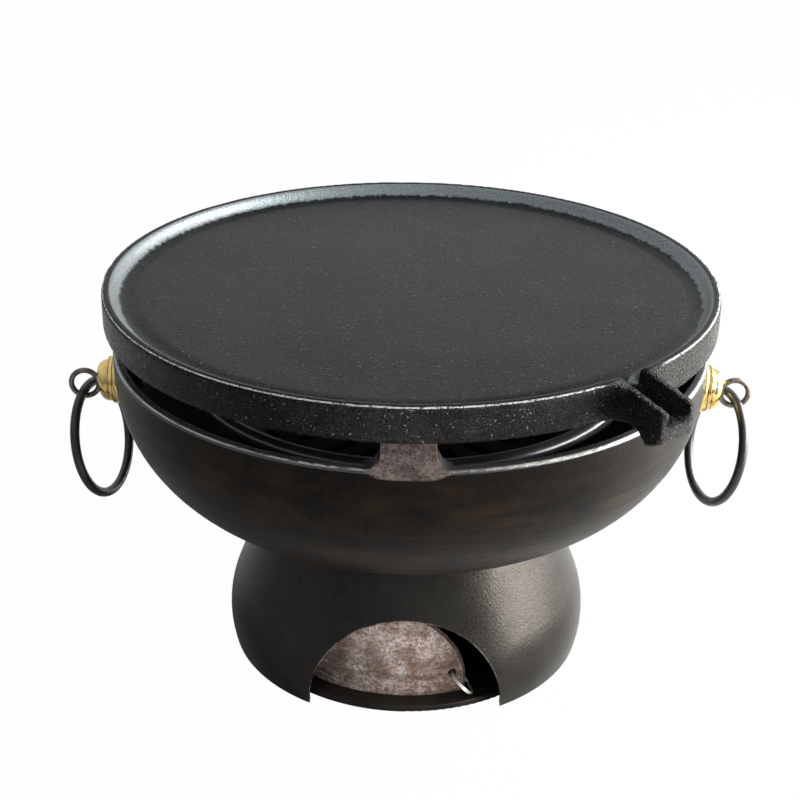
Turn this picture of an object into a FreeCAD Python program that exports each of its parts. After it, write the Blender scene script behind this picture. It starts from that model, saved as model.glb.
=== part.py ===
import FreeCAD
import Part
import math
import os
import Sketcher

# A table-top charcoal grill: a cast-iron griddle on the three lugs of a fire bowl, with a basin
# and a grate for the charcoal inside, on a flared pedestal whose arch is closed by an air door.
# The frame stands on the table: origin at the middle of the foot, +Z up, the arch towards -Y.

# Millimetres and degrees. Names that end in angle, count or share are no lengths.
DIMENSIONS = {
    # Clearances and fits
    "running_clearance": 0.3,
    "bolt_clearance": 0.2,
    "thread_clearance": 0.05,
    "overrun": 2.0,
    # Pedestal
    "pedestal_height": 93.0,
    "pedestal_widest_radius": 103.0,
    "pedestal_wall": 4.0,
    "pedestal_bulge_radius": 61.0,
    "pedestal_bulge_height": 16.0,
    "pedestal_cone_angle": 21.1,
    "pedestal_collar_height": 8.0,
    "pedestal_edge_round": 1.2,
    "flange_thickness": 7.0,
    "flange_bore_inset": 16.0,
    "arch_radius": 52.0,
    "arch_spring_height": 5.0,
    # Bottom plate and its three screws
    "plate_gap": 3.4,
    "plate_thickness": 4.0,
    "plate_edge_round": 0.8,
    "plate_screw_inset": 9.5,
    "plate_screw_count": 3,
    "plate_screw_spacing_angle": 60.0,
    "plate_screw_radius": 2.0,
    "plate_screw_head_radius": 4.0,
    "plate_screw_length": 14.0,
    "plate_boss_radius": 6.0,
    "plate_boss_height": 14.0,
    # Air door
    "door_inset": 9.5,
    "door_thickness": 3.0,
    "door_half_width": 53.0,
    "door_spring_height": 10.0,
    "door_rest_angle": -16.7,
    "door_bow_angle": 60.0,
    "door_arm_thickness": 2.5,
    "door_arm_half_width": 30.0,
    "door_hub_radius": 12.0,
    "pull_hole_radius": 2.5,
    "pull_hole_height": 17.0,
    "pull_hole_edge_inset": 5.3,
    # Pull ring of the door
    "pull_ring_radius": 8.3,
    "pull_ring_wire_radius": 0.8,
    "pull_ring_yaw_angle": -16.3,
    "pull_ring_pitch_angle": -10.4,
    "pull_ring_roll_angle": 44.2,
    # Pivot of the door
    "pivot_screw_radius": 3.0,
    "pivot_head_radius": 6.0,
    "pivot_washer_radius": 7.5,
    "pivot_washer_thickness": 1.2,
    "pivot_nut_flat_radius": 5.0,
    "pivot_nut_thickness": 5.0,
    "pivot_thread_end": 1.5,
    # Fire bowl
    "bowl_radius": 161.0,
    "bowl_rim_rise": 10.0,
    "bowl_wall": 5.0,
    "bowl_floor_inset": 0.8,
    "bowl_rim_outer_round": 2.0,
    "bowl_rim_inner_round": 1.5,
    "bowl_air_hole_inset": 6.0,
    # Lugs that carry the griddle
    "lug_count": 3,
    "lug_rise": 15.0,
    "lug_half_width": 13.0,
    "lug_flare_radius": 7.5,
    "lug_depth": 14.0,
    "lug_top_setback": 4.6,
    "lug_facet_angle": 13.3,
    "lug_rib_drop": 7.0,
    "lug_rib_step": 4.0,
    "lug_setback": 0.1,
    # Bolts that join the bowl and the pedestal
    "neck_bolt_count": 3,
    "neck_bolt_inset": 18.8,
    "neck_bolt_radius": 3.0,
    "neck_head_flat_radius": 5.0,
    "neck_head_thickness": 4.0,
    "neck_washer_radius": 7.0,
    "neck_washer_thickness": 1.2,
    "neck_nut_thickness": 5.0,
    "neck_thread_end": 1.5,
    # Fire basin
    "basin_rim_radius": 122.5,
    "basin_height": 69.5,
    "basin_wall": 4.0,
    "basin_rim_round": 4.5,
    "basin_floor_inset": 8.0,
    "basin_floor_round": 6.0,
    "basin_lift": 14.0,
    "basin_ledge_height": 27.0,
    "basin_ledge_width": 9.0,
    "basin_foot_count": 3,
    "basin_foot_radius": 7.0,
    "basin_foot_inset": 14.0,
    "basin_hole_radius": 4.5,
    "basin_inner_hole_share": 0.305,
    "basin_inner_hole_count": 6,
    "basin_outer_hole_share": 0.583,
    "basin_outer_hole_count": 12,
    # Charcoal grate
    "grate_thickness": 5.0,
    "grate_clearance": 0.8,
    "grate_slot_half_width": 3.5,
    "grate_inner_slot_start_share": 0.16,
    "grate_inner_slot_end_share": 0.41,
    "grate_inner_slot_count": 6,
    "grate_outer_slot_start_share": 0.51,
    "grate_outer_slot_end_share": 0.84,
    "grate_outer_slot_count": 18,
    # Griddle plate
    "griddle_overhang": 4.0,
    "griddle_wall_height": 20.0,
    "griddle_floor_thickness": 5.5,
    "griddle_rim_depth": 6.5,
    "griddle_rim_width": 4.0,
    "griddle_slope_width": 5.0,
    "griddle_skirt_thickness": 4.5,
    "griddle_skirt_fillet": 4.0,
    "griddle_outer_round": 1.4,
    "griddle_inner_round": 1.0,
    "griddle_pad_margin": 3.0,
    "griddle_pad_round": 5.0,
    "groove_width": 9.0,
    "groove_depth": 1.2,
    # Spout of the griddle
    "spout_turn_angle": -50.0,
    "spout_length": 28.0,
    "spout_overlap": 3.8,
    "spout_half_width": 11.5,
    "spout_fillet": 12.0,
    "spout_top_drop": 7.0,
    "spout_end_round": 2.5,
    "spout_end_rake": 1.5,
    "spout_end_depth": 24.5,
    "spout_nose_setback": 10.0,
    "spout_nose_depth": 27.5,
    "spout_underside_offset": 3.0,
    "spout_underside_radius": 16.0,
    "channel_half_width": 6.8,
    "channel_end_depth": 16.0,
    # Handles: boss, eye bolt and ring on either side
    "handle_tilt_angle": 8.5,
    "handle_base_inset": 1.4,
    "handle_base_drop": 29.5,
    "handle_pad_radius": 15.5,
    "handle_pad_foot_radius": 17.0,
    "handle_pad_depth": 5.0,
    "handle_seat_depth": 5.4,
    "handle_seat_radius": 8.5,
    "boss_flange_radius": 14.5,
    "boss_flange_thickness": 3.0,
    "boss_flange_round": 1.2,
    "boss_ring_radius": 13.25,
    "boss_ring_thickness": 2.5,
    "boss_bell_radius": 12.2,
    "boss_shoulder_radius": 11.5,
    "boss_nose_radius": 7.0,
    "boss_length": 12.5,
    "eye_outer_radius": 9.2,
    "eye_wire_radius": 1.53,
    "eye_distance": 21.4,
    "eye_shank_radius": 3.0,
    "eye_washer_radius": 7.5,
    "eye_washer_thickness": 1.2,
    "eye_nut_flat_radius": 5.0,
    "eye_nut_thickness": 5.0,
    "eye_thread_end": 1.5,
    "handle_ring_radius": 32.0,
    "handle_ring_wire_radius": 2.6,
    "handle_ring_turn_angle": 14.0,
    "handle_ring_lean_angle": 11.0,
    "handle_ring_swing_angle": 8.0,
}

LEFT = 1
RIGHT = -1
FRONT_ANGLE = -90

document = FreeCAD.newDocument("charcoal_grill")
sheet = document.addObject("Spreadsheet::Sheet", "Sizes")


class Size:
    """A number together with the expression that gives it from the sheet."""

    def __init__(self, value, text):
        self.value = value
        self.text = text

    def __add__(self, other):
        other = as_size(other)
        return Size(self.value + other.value, "(" + self.text + " + " + other.text + ")")

    def __sub__(self, other):
        other = as_size(other)
        return Size(self.value - other.value, "(" + self.text + " - " + other.text + ")")

    def __mul__(self, other):
        other = as_size(other)
        return Size(self.value * other.value, self.text + " * " + other.text)

    def __truediv__(self, other):
        other = as_size(other)
        return Size(self.value / other.value, "(" + self.text + ") / (" + other.text + ")")

    def __neg__(self):
        return Size(-self.value, "(-1 * " + self.text + ")")

    def __radd__(self, other):
        return as_size(other) + self

    def __rsub__(self, other):
        return as_size(other) - self

    def __rmul__(self, other):
        return as_size(other) * self


def as_size(number):
    if isinstance(number, Size):
        return number
    return Size(number, repr(number))


def root(square):
    return Size(math.sqrt(square.value), "sqrt(" + square.text + ")")


def sine(angle):
    return Size(math.sin(math.radians(angle.value)), "sin(" + angle.text + ")")


def cosine(angle):
    return Size(math.cos(math.radians(angle.value)), "cos(" + angle.text + ")")


def tangent(angle):
    return sine(angle) / cosine(angle)


def angle_with_sine(share):
    return Size(math.degrees(math.asin(share.value)), "(asin(" + share.text + ") / 1deg)")


class Names:
    """The named sizes of the sheet, each as a Size."""


def fill_sheet():
    names = Names()
    for row, (alias, value) in enumerate(DIMENSIONS.items(), start=1):
        sheet.set("A" + str(row), alias)
        sheet.set("B" + str(row), str(value))
        sheet.setAlias("B" + str(row), alias)
        setattr(names, alias, Size(value, "Sizes." + alias))
    document.recompute()
    return names


size = fill_sheet()
ZERO = as_size(0)


# Sketches

def fix_point(sketch, geometry, end, x, y):
    """Holds one point of a sketch at its place from the origin."""
    horizontal_axis, vertical_axis, origin = -1, -2, (-1, 1)
    for kind, axis, place in (("DistanceX", vertical_axis, x), ("DistanceY", horizontal_axis, y)):
        if place.value == 0:
            sketch.addConstraint(Sketcher.Constraint("PointOnObject", geometry, end, axis))
        else:
            number = sketch.addConstraint(
                Sketcher.Constraint(kind, *origin, geometry, end, place.value))
            sketch.setExpression("Constraints[" + str(number) + "]", place.text)


def fix_radius(sketch, geometry, radius):
    number = sketch.addConstraint(Sketcher.Constraint("Radius", geometry, radius.value))
    sketch.setExpression("Constraints[" + str(number) + "]", radius.text)


def add_circle(sketch, x, y, radius):
    middle = FreeCAD.Vector(x.value, y.value, 0)
    circle = sketch.addGeometry(Part.Circle(middle, FreeCAD.Vector(0, 0, 1), radius.value))
    fix_point(sketch, circle, 3, x, y)
    fix_radius(sketch, circle, radius)


def add_arc(sketch, start, end, radius, side):
    """An arc of less than half a turn that bends LEFT or RIGHT on its way from start to end."""
    chord = end - start
    rise = math.sqrt(max(radius.value ** 2 - (chord.Length / 2) ** 2, 0))
    normal = FreeCAD.Vector(-chord.y, chord.x, 0).normalize()
    middle = (start + end) / 2 + normal * rise * side
    first, last = (start, end) if side == LEFT else (end, start)
    turns = [math.atan2(point.y - middle.y, point.x - middle.x) for point in (first, last)]
    circle = Part.Circle(middle, FreeCAD.Vector(0, 0, 1), radius.value)
    arc = sketch.addGeometry(Part.ArcOfCircle(circle, turns[0], turns[1]))
    fix_radius(sketch, arc, radius)
    return (arc, 1, 2) if side == LEFT else (arc, 2, 1)


def round_points(before, corner, after, radius):
    """Where a round of this radius leaves the two sides of a corner, and the way it bends."""
    back = (before - corner).normalize()
    ahead = (after - corner).normalize()
    reach = radius.value / math.tan(back.getAngle(ahead) / 2)
    side = LEFT if back.cross(ahead).z < 0 else RIGHT
    return corner + back * reach, corner + ahead * reach, side


def draw(sketch, *steps):
    """A closed outline. A step (x, y) is a corner and (x, y, radius) a rounded one; a step
    (LEFT or RIGHT, radius) between two corners joins them by an arc instead of a line."""
    corners = []
    bends = []
    for step in steps:
        if step[0] in (LEFT, RIGHT):
            bends[-1] = step
        else:
            corners.append(step)
            bends.append(None)
    points = [FreeCAD.Vector(corner[0].value, corner[1].value, 0) for corner in corners]
    count = len(points)
    rounds = {}
    for index, corner in enumerate(corners):
        if len(corner) == 3:
            rounds[index] = round_points(
                points[index - 1], points[index], points[(index + 1) % count], corner[2])
    edges = []
    for index, bend in enumerate(bends):
        following = (index + 1) % count
        start = rounds[index][1] if index in rounds else points[index]
        end = rounds[following][0] if following in rounds else points[following]
        if bend:
            edges.append(add_arc(sketch, start, end, bend[1], bend[0]))
        else:
            edges.append((sketch.addGeometry(Part.LineSegment(start, end)), 1, 2))
    for index, corner in enumerate(corners):
        join_edges(sketch, edges[index - 1], edges[index], corner, rounds.get(index))


def join_edges(sketch, before, after, corner, rounding):
    if not rounding:
        sketch.addConstraint(
            Sketcher.Constraint("Coincident", before[0], before[2], after[0], after[1]))
        fix_point(sketch, after[0], after[1], corner[0], corner[1])
        return
    start, end, side = rounding
    arc = add_arc(sketch, start, end, corner[2], side)
    point = sketch.addGeometry(
        Part.Point(FreeCAD.Vector(corner[0].value, corner[1].value, 0)), True)
    sketch.addConstraint(Sketcher.Constraint("Tangent", before[0], before[2], arc[0], arc[1]))
    sketch.addConstraint(Sketcher.Constraint("Tangent", arc[0], arc[2], after[0], after[1]))
    sketch.addConstraint(Sketcher.Constraint("PointOnObject", point, 1, before[0]))
    sketch.addConstraint(Sketcher.Constraint("PointOnObject", point, 1, after[0]))
    fix_point(sketch, point, 1, corner[0], corner[1])


# Features

def place(thing, x=ZERO, y=ZERO, z=ZERO, yaw=ZERO, pitch=ZERO, roll=ZERO, slot="Placement"):
    """Binds a placement to the sheet: turned by roll, pitch and yaw, then moved."""
    move = "vector(" + x.text + "; " + y.text + "; " + z.text + ")"
    turn = "rotation(" + yaw.text + "; " + pitch.text + "; " + roll.text + ")"
    thing.setExpression(slot, "placement(" + move + "; " + turn + ")")


def body_sketch(body, plane, z=ZERO, yaw=ZERO):
    sketch = body.newObject("Sketcher::SketchObject", body.Name + "_sketch")
    origin_plane = [part for part in body.Origin.OriginFeatures if part.Role == plane][0]
    sketch.AttachmentSupport = [(origin_plane, "")]
    sketch.MapMode = "FlatFace"
    place(sketch, z=z, yaw=yaw, slot="AttachmentOffset")
    return sketch


def turned_body(name, *steps):
    """A body turned about its own Z axis from a half section of radii and heights."""
    body = document.addObject("PartDesign::Body", name)
    sketch = body_sketch(body, "XZ_Plane")
    draw(sketch, *steps)
    revolution = body.newObject("PartDesign::Revolution", name + "_turned")
    revolution.Profile = sketch
    revolution.ReferenceAxis = (sketch, ["V_Axis"])
    revolution.Angle = 360
    return body


def pad(body, sketch, length, reverse=False, both_ways=False):
    feature = body.newObject("PartDesign::Pad", body.Name + "_pad")
    return finish_pad(feature, sketch, length, reverse, both_ways)


def pocket(body, sketch, length, reverse=False, both_ways=False):
    feature = body.newObject("PartDesign::Pocket", body.Name + "_pocket")
    return finish_pad(feature, sketch, length, reverse, both_ways)


def finish_pad(feature, sketch, length, reverse, both_ways):
    feature.Profile = sketch
    feature.setExpression("Length", length.text)
    feature.Reversed = reverse
    if both_ways:
        feature.SideType = "Symmetric"
    return feature


def ring_pattern(body, features, count, angle=None):
    """Repeats features about the body's Z axis, over a full turn or over the angle."""
    axis = [part for part in body.Origin.OriginFeatures if part.Role == "Z_Axis"][0]
    pattern = body.newObject("PartDesign::PolarPattern", body.Name + "_pattern")
    pattern.Originals = features
    pattern.Axis = (axis, [""])
    if angle:
        pattern.setExpression("Angle", angle.text)
    else:
        pattern.Angle = 360
    pattern.setExpression("Occurrences", count.text)
    body.Tip = pattern
    return pattern


def cylinder(name, radius, height):
    thing = document.addObject("Part::Cylinder", name)
    thing.setExpression("Radius", radius.text)
    thing.setExpression("Height", height.text)
    return thing


def hexagon(name, flat_radius, height):
    """A six-sided prism; the flat radius is half the width across its flats."""
    thing = document.addObject("Part::Prism", name)
    thing.Polygon = 6
    thing.setExpression("Circumradius", (flat_radius / cosine(as_size(30))).text)
    thing.setExpression("Height", height.text)
    return thing


def torus(name, ring_radius, wire_radius):
    thing = document.addObject("Part::Torus", name)
    thing.setExpression("Radius1", ring_radius.text)
    thing.setExpression("Radius2", wire_radius.text)
    return thing


def cone(name, foot_radius, top_radius, height):
    thing = document.addObject("Part::Cone", name)
    thing.setExpression("Radius1", foot_radius.text)
    thing.setExpression("Radius2", top_radius.text)
    thing.setExpression("Height", height.text)
    return thing


def fuse(name, *things):
    thing = document.addObject("Part::MultiFuse", name)
    thing.Shapes = list(things)
    return thing


def common(name, *things):
    thing = document.addObject("Part::MultiCommon", name)
    thing.Shapes = list(things)
    return thing


def cut(name, base, tool):
    thing = document.addObject("Part::Cut", name)
    thing.Base = base
    thing.Tool = tool
    return thing


def group(name, things):
    thing = document.addObject("Part::Compound", name)
    thing.Links = list(things)
    return thing


def prism(name, plane, length, both_ways, *steps):
    """A closed outline on one plane of its own body, pushed along that plane's normal."""
    body = document.addObject("PartDesign::Body", name)
    sketch = body_sketch(body, plane)
    draw(sketch, *steps)
    pad(body, sketch, length, both_ways=both_ways)
    return body


# Shared places

def pedestal_outline(wall):
    """Corners of the pedestal's side, moved in by the wall: the foot, where the bulge meets the
    cone, and the collar under the bowl."""
    middle = size.pedestal_widest_radius - size.pedestal_bulge_radius - wall
    foot = middle + root(size.pedestal_bulge_radius * size.pedestal_bulge_radius
                         - size.pedestal_bulge_height * size.pedestal_bulge_height)
    join_radius = middle + size.pedestal_bulge_radius * cosine(size.pedestal_cone_angle)
    join_height = (size.pedestal_bulge_height
                   + size.pedestal_bulge_radius * sine(size.pedestal_cone_angle))
    collar_height = size.pedestal_height - size.pedestal_collar_height
    collar = join_radius - (collar_height - join_height) * tangent(size.pedestal_cone_angle)
    return foot, join_radius, join_height, collar, collar_height


outer_corners = pedestal_outline(ZERO)
inner_corners = pedestal_outline(size.pedestal_wall)
neck_bolt_circle = outer_corners[3] - size.neck_bolt_inset
flange_bore = neck_bolt_circle - size.flange_bore_inset
plate_radius = inner_corners[0] - size.plate_gap
plate_screw_circle = plate_radius - size.plate_screw_inset
plate_screw_spread = (size.plate_screw_count - 1) * size.plate_screw_spacing_angle
door_radius = plate_radius - size.door_inset
pull_hole_angle = angle_with_sine((size.door_half_width - size.pull_hole_edge_inset) / door_radius)
door_base = size.plate_thickness + size.running_clearance
arm_top = door_base + size.door_arm_thickness
bowl_floor_radius = outer_corners[3] - size.bowl_floor_inset
bowl_arc_radius = size.bowl_radius - bowl_floor_radius
bowl_height = bowl_arc_radius + size.bowl_rim_rise
bowl_base = size.pedestal_height
bowl_top = bowl_base + bowl_height
bowl_floor = bowl_base + size.bowl_wall
lug_inner_radius = size.bowl_radius - size.lug_depth
basin_floor_radius = bowl_floor_radius - size.basin_floor_inset
grate_radius = basin_floor_radius + size.basin_ledge_width - size.basin_wall - size.grate_clearance
griddle_radius = size.bowl_radius + size.griddle_overhang
skirt_depth = size.griddle_wall_height - size.griddle_rim_depth - size.griddle_floor_thickness
griddle_base = bowl_top + size.lug_rise + skirt_depth
handle_base = size.bowl_radius - size.handle_base_inset
handle_height = bowl_top - size.handle_base_drop


def make_pedestal():
    foot, join_radius, join_height, collar, collar_height = outer_corners
    inner = inner_corners
    flange_under = size.pedestal_height - size.flange_thickness
    inner_collar = inner[3] - (flange_under - collar_height) * tangent(size.pedestal_cone_angle)
    body = turned_body(
        "pedestal",
        (inner[0], ZERO),
        (foot, ZERO),
        (LEFT, size.pedestal_bulge_radius),
        (join_radius, join_height),
        (collar, collar_height),
        (collar, size.pedestal_height, size.pedestal_edge_round),
        (flange_bore, size.pedestal_height),
        (flange_bore, flange_under),
        (inner_collar, flange_under, size.pedestal_wall),
        (inner[1], inner[2]),
        (RIGHT, size.pedestal_bulge_radius))
    arch = body_sketch(body, "XZ_Plane")
    draw(arch,
         (-size.arch_radius, -size.overrun),
         (size.arch_radius, -size.overrun),
         (size.arch_radius, size.arch_spring_height),
         (LEFT, size.arch_radius),
         (ZERO, size.arch_spring_height + size.arch_radius),
         (LEFT, size.arch_radius),
         (-size.arch_radius, size.arch_spring_height))
    pocket(body, arch, size.pedestal_widest_radius + size.overrun, reverse=True)
    boss_reach = size.pedestal_widest_radius - size.pedestal_wall / 2
    boss_sketch = body_sketch(body, "XY_Plane", z=size.plate_thickness,
                              yaw=-plate_screw_spread / 2)
    draw(boss_sketch,
         (-size.plate_boss_radius, plate_screw_circle),
         (LEFT, size.plate_boss_radius),
         (ZERO, plate_screw_circle - size.plate_boss_radius),
         (LEFT, size.plate_boss_radius),
         (size.plate_boss_radius, plate_screw_circle),
         (size.plate_boss_radius, boss_reach),
         (-size.plate_boss_radius, boss_reach))
    boss = pad(body, boss_sketch, size.plate_boss_height)
    bore_sketch = body_sketch(body, "XY_Plane", z=size.plate_thickness,
                              yaw=-plate_screw_spread / 2)
    add_circle(bore_sketch, ZERO, plate_screw_circle,
               size.plate_screw_radius + size.thread_clearance)
    bore_depth = size.plate_screw_length - size.plate_thickness + size.overrun
    bore = pocket(body, bore_sketch, bore_depth, reverse=True)
    ring_pattern(body, [boss, bore], size.plate_screw_count, plate_screw_spread)
    bolt_sketch = body_sketch(body, "XY_Plane", z=flange_under)
    add_circle(bolt_sketch, ZERO, neck_bolt_circle,
               size.neck_bolt_radius + size.bolt_clearance)
    bolt_hole = pocket(body, bolt_sketch, size.flange_thickness, reverse=True)
    ring_pattern(body, [bolt_hole], size.neck_bolt_count)
    return body


def countersunk_screw(name, shank_radius, head_radius, length):
    """A screw that points up, its flat head at height zero."""
    return turned_body(
        name,
        (ZERO, ZERO),
        (head_radius, ZERO),
        (shank_radius, head_radius - shank_radius),
        (shank_radius, length),
        (ZERO, length))


def countersink(name, shank_radius, head_radius, depth):
    """The room that a countersunk screw takes up in a plate, with its clearance."""
    wide = head_radius + size.bolt_clearance
    narrow = shank_radius + size.bolt_clearance
    return turned_body(
        name,
        (ZERO, -size.overrun),
        (wide, -size.overrun),
        (wide, ZERO),
        (narrow, wide - narrow),
        (narrow, depth + size.overrun),
        (ZERO, depth + size.overrun))


def screw_places():
    """The way to each screw of the bottom plate, as the turn from the +X axis."""
    for step in range(DIMENSIONS["plate_screw_count"]):
        yield step * size.plate_screw_spacing_angle - plate_screw_spread / 2 - FRONT_ANGLE


def make_bottom_plate():
    disc = turned_body(
        "plate_disc",
        (ZERO, ZERO),
        (plate_radius, ZERO, size.plate_edge_round),
        (plate_radius, size.plate_thickness, size.plate_edge_round),
        (ZERO, size.plate_thickness))
    sinks = [countersink("pivot_sink", size.pivot_screw_radius, size.pivot_head_radius,
                         size.plate_thickness)]
    for turn in screw_places():
        sink = countersink("screw_sink", size.plate_screw_radius, size.plate_screw_head_radius,
                           size.plate_thickness)
        place(sink, plate_screw_circle * cosine(turn),
              plate_screw_circle * sine(turn))
        sinks.append(sink)
    return cut("bottom_plate", disc, fuse("plate_sinks", *sinks))


def make_plate_screws():
    screws = []
    for turn in screw_places():
        screw = countersunk_screw("plate_screw", size.plate_screw_radius,
                                  size.plate_screw_head_radius, size.plate_screw_length)
        place(screw, plate_screw_circle * cosine(turn),
              plate_screw_circle * sine(turn))
        screws.append(screw)
    return group("bottom_plate_screws", screws)


def make_door():
    """A curved plate with an arched top on a flat arm, in the closed place; turned as it rests."""
    inner = door_radius - size.door_thickness
    bow_angle = size.door_bow_angle
    arch_top = size.door_spring_height + size.door_half_width
    bow = prism(
        "door_bow", "XY_Plane", arch_top + size.overrun, False,
        (-door_radius * sine(bow_angle), -door_radius * cosine(bow_angle)),
        (LEFT, door_radius),
        (door_radius * sine(bow_angle), -door_radius * cosine(bow_angle)),
        (inner * sine(bow_angle), -inner * cosine(bow_angle)),
        (RIGHT, inner),
        (-inner * sine(bow_angle), -inner * cosine(bow_angle)))
    front = prism(
        "door_front", "XZ_Plane", door_radius + size.overrun, False,
        (-size.door_half_width, door_base),
        (size.door_half_width, door_base),
        (size.door_half_width, size.door_spring_height),
        (LEFT, size.door_half_width),
        (ZERO, arch_top),
        (LEFT, size.door_half_width),
        (-size.door_half_width, size.door_spring_height))
    seam = door_radius - size.door_thickness / 2
    seam_y = -root(seam * seam - size.door_arm_half_width * size.door_arm_half_width)
    arm = prism(
        "door_arm", "XY_Plane", size.door_arm_thickness, False,
        (-size.door_hub_radius, ZERO),
        (-size.door_arm_half_width, seam_y),
        (LEFT, seam),
        (size.door_arm_half_width, seam_y),
        (size.door_hub_radius, ZERO),
        (LEFT, size.door_hub_radius),
        (ZERO, size.door_hub_radius),
        (LEFT, size.door_hub_radius))
    place(arm, z=door_base)
    pivot_hole = cylinder("door_pivot_hole", size.pivot_screw_radius + size.bolt_clearance,
                          arm_top + size.overrun)
    pull_hole = cylinder("door_pull_hole", size.pull_hole_radius,
                         size.door_thickness + size.overrun * 2)
    start = inner - size.overrun
    place(pull_hole, start * sine(pull_hole_angle), -start * cosine(pull_hole_angle),
          size.pull_hole_height, yaw=pull_hole_angle + FRONT_ANGLE, pitch=as_size(90))
    blank = fuse("door_blank", common("door_plate", bow, front), arm)
    door = cut("air_door", blank, fuse("door_holes", pivot_hole, pull_hole))
    place(door, yaw=size.door_rest_angle)
    return door


def make_pull_ring():
    """A ring through the hole of the door and round the door's right edge."""
    turn = size.door_rest_angle + pull_hole_angle
    yaw = turn + FRONT_ANGLE + size.pull_ring_yaw_angle
    pitch = size.pull_ring_pitch_angle
    roll = size.pull_ring_roll_angle
    hole_radius = door_radius - size.door_thickness / 2
    reach = size.pull_ring_radius
    down_x = -(cosine(yaw) * sine(pitch) * cosine(roll) + sine(yaw) * sine(roll))
    down_y = -(sine(yaw) * sine(pitch) * cosine(roll) - cosine(yaw) * sine(roll))
    down_z = -(cosine(pitch) * cosine(roll))
    ring = torus("door_pull_ring", reach, size.pull_ring_wire_radius)
    place(ring,
          hole_radius * sine(turn) + reach * down_x,
          -hole_radius * cosine(turn) + reach * down_y,
          size.pull_hole_height + reach * down_z,
          yaw=yaw, pitch=pitch, roll=roll + 90)
    return ring


def washer(name, outer_radius, bore_radius, thickness):
    return cut(name, cylinder(name + "_disc", outer_radius, thickness),
               cylinder(name + "_bore", bore_radius, thickness))


def nut(name, flat_radius, bore_radius, thickness):
    return cut(name, hexagon(name + "_blank", flat_radius, thickness),
               cylinder(name + "_bore", bore_radius, thickness))


def make_pivot():
    washer_base = arm_top + size.running_clearance
    nut_base = washer_base + size.pivot_washer_thickness
    end = nut_base + size.pivot_nut_thickness + size.pivot_thread_end
    screw = countersunk_screw("pivot_screw", size.pivot_screw_radius, size.pivot_head_radius, end)
    ring = washer("pivot_washer", size.pivot_washer_radius,
                  size.pivot_screw_radius + size.bolt_clearance, size.pivot_washer_thickness)
    place(ring, z=washer_base)
    cap = nut("pivot_nut", size.pivot_nut_flat_radius,
              size.pivot_screw_radius + size.thread_clearance, size.pivot_nut_thickness)
    place(cap, z=nut_base)
    return [screw, ring, cap]


def make_bowl_casting():
    """The bare bowl, with the holes in its floor."""
    arc = bowl_arc_radius
    air_hole = flange_bore - size.bowl_air_hole_inset
    inner_radius = size.bowl_radius - size.bowl_wall
    body = turned_body(
        "bowl_casting",
        (air_hole, ZERO),
        (bowl_floor_radius, ZERO),
        (LEFT, arc),
        (size.bowl_radius, arc),
        (size.bowl_radius, bowl_height, size.bowl_rim_outer_round),
        (inner_radius, bowl_height, size.bowl_rim_inner_round),
        (inner_radius, arc),
        (RIGHT, arc - size.bowl_wall),
        (bowl_floor_radius, size.bowl_wall),
        (air_hole, size.bowl_wall))
    bolt_sketch = body_sketch(body, "XY_Plane")
    add_circle(bolt_sketch, ZERO, neck_bolt_circle,
               size.neck_bolt_radius + size.bolt_clearance)
    bolt_hole = pocket(body, bolt_sketch, size.bowl_wall, reverse=True)
    ring_pattern(body, [bolt_hole], size.neck_bolt_count)
    return body


def make_lug(turn):
    """A lug that stands on the bowl's rim, and the wedge that its outer face is ground away by."""
    lug_top = bowl_height + size.lug_rise
    flare_edge = size.lug_half_width + size.lug_flare_radius
    flare_top = bowl_height + size.lug_flare_radius
    rib_foot = bowl_height - size.lug_rib_drop
    outside = size.bowl_radius + size.overrun
    facet_slope = tangent(size.lug_facet_angle)
    top_outer = size.bowl_radius - size.lug_top_setback
    facet_foot = lug_top - (outside - top_outer) / facet_slope
    facet_head = top_outer - size.overrun * facet_slope
    front = prism(
        "lug_front", "XZ_Plane", outside, False,
        (-flare_edge, rib_foot),
        (flare_edge, rib_foot),
        (flare_edge, bowl_height),
        (RIGHT, size.lug_flare_radius),
        (size.lug_half_width, flare_top),
        (size.lug_half_width, lug_top),
        (-size.lug_half_width, lug_top),
        (-size.lug_half_width, flare_top),
        (RIGHT, size.lug_flare_radius),
        (-flare_edge, bowl_height))
    side = prism(
        "lug_side", "YZ_Plane", flare_edge * 2 + size.overrun, True,
        (-lug_inner_radius, lug_top + size.overrun),
        (-lug_inner_radius, bowl_height + size.lug_rib_step),
        (size.bowl_wall / 2 - size.bowl_radius, rib_foot),
        (-outside, facet_foot),
        (-facet_head, lug_top + size.overrun))
    envelope = cylinder("lug_envelope", size.bowl_radius - size.lug_setback, lug_top)
    lug = common("lug", front, side, envelope)
    wedge = prism(
        "lug_wedge", "YZ_Plane", flare_edge * 2, True,
        (-outside, facet_foot),
        (-facet_head, lug_top + size.overrun),
        (-outside, lug_top + size.overrun))
    for thing in (lug, wedge):
        place(thing, z=bowl_base, yaw=turn)
    return lug, wedge


def place_on_handle(thing, side, distance=ZERO):
    """Puts a piece on the tilted axis of a handle, a distance out from its seat on the bowl."""
    out = handle_base + distance * cosine(size.handle_tilt_angle)
    up = handle_height - distance * sine(size.handle_tilt_angle)
    place(thing, side * out, ZERO, up, pitch=side * (size.handle_tilt_angle + 90))


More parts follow.
